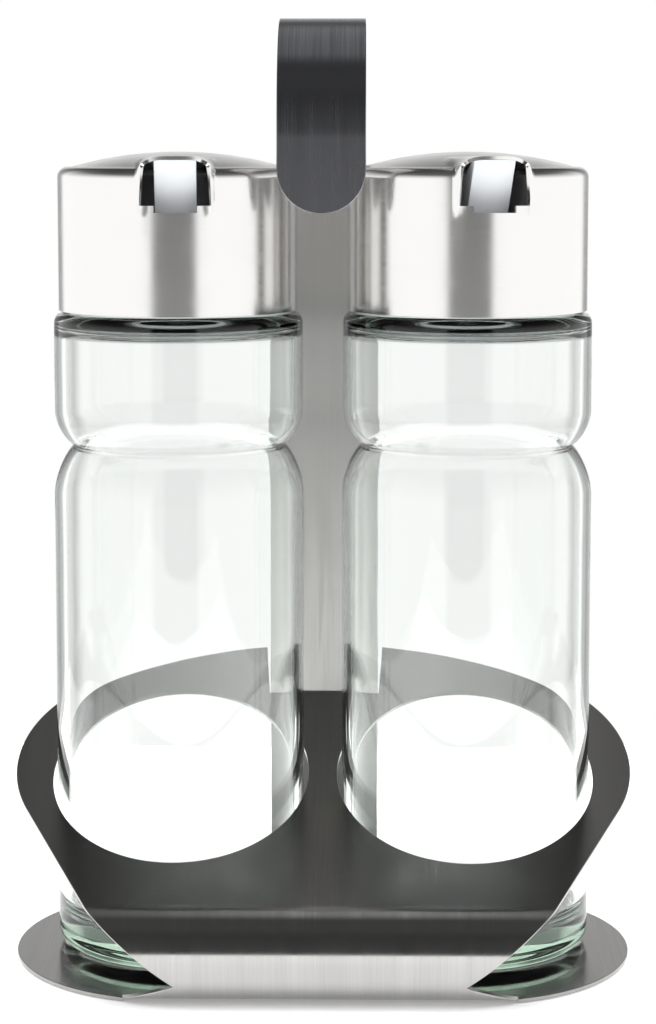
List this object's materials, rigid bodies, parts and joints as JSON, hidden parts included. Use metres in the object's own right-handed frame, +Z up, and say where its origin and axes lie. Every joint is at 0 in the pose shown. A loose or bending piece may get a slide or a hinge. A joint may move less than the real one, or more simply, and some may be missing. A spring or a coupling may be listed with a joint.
{
  "type": "oil and vinegar cruet set",
  "caption": "Two lidded glass pouring bottles with steel caps, standing in a folded sheet-steel carrier with a strip handle hooked over the top.",
  "frame": {"origin": "on the underside of the foot plate, midway between the two bottle axes, level with them front to back", "axes": "+Z up along the bottles, -Y toward the front where the caps pour, +X to the right seen from the front"},
  "size_m": [0.1504, 0.1013, 0.2243],
  "materials": {
    "steel_sheet": "brushed from front to back, polished foot plate",
    "steel_strip": "brushed lengthwise",
    "steel_cap": "polished stainless steel with faint turning lines",
    "glass": "clear, faint green in the thick bottom",
    "white_plastic": "white, slightly translucent",
    "silicone": "translucent, matt"
  },
  "bodies": {
    "stand": {"stand_body": "steel_sheet", "handle_strip": "steel_strip"},
    "left_bottle": {"bottle_left": "glass"},
    "left_seal": {"seal_left": "silicone"},
    "left_cap": {"cap_left": "steel_cap", "insert_left": "white_plastic"},
    "right_bottle": {"bottle_right": "glass"},
    "right_seal": {"seal_right": "silicone"},
    "right_cap": {"cap_right": "steel_cap", "insert_right": "white_plastic"}
  },
  "joints": [
    {"name": "left_bottle_lift", "type": "hinge", "parent": "stand", "child": "left_bottle", "pos_m": [-0.9346, 0, 0.015], "axis": [0, -1, 0], "range_deg": [0, 15]},
    {"name": "left_cap_pull", "type": "slide", "parent": "left_bottle", "child": "left_seal", "axis": [0, 0, 1], "range_m": [0, 0.024]},
    {"name": "left_cap_turn", "type": "hinge", "parent": "left_seal", "child": "left_cap", "pos_m": [-0.0346, 0, 0.16], "axis": [0, 0, 1], "continuous": true},
    {"name": "right_bottle_lift", "type": "hinge", "parent": "stand", "child": "right_bottle", "pos_m": [0.9346, 0, 0.015], "axis": [0, 1, 0], "range_deg": [0, 15]},
    {"name": "right_cap_pull", "type": "slide", "parent": "right_bottle", "child": "right_seal", "axis": [0, 0, 1], "range_m": [0, 0.024]},
    {"name": "right_cap_turn", "type": "hinge", "parent": "right_seal", "child": "right_cap", "pos_m": [0.0346, 0, 0.16], "axis": [0, 0, 1], "continuous": true}
  ]
}
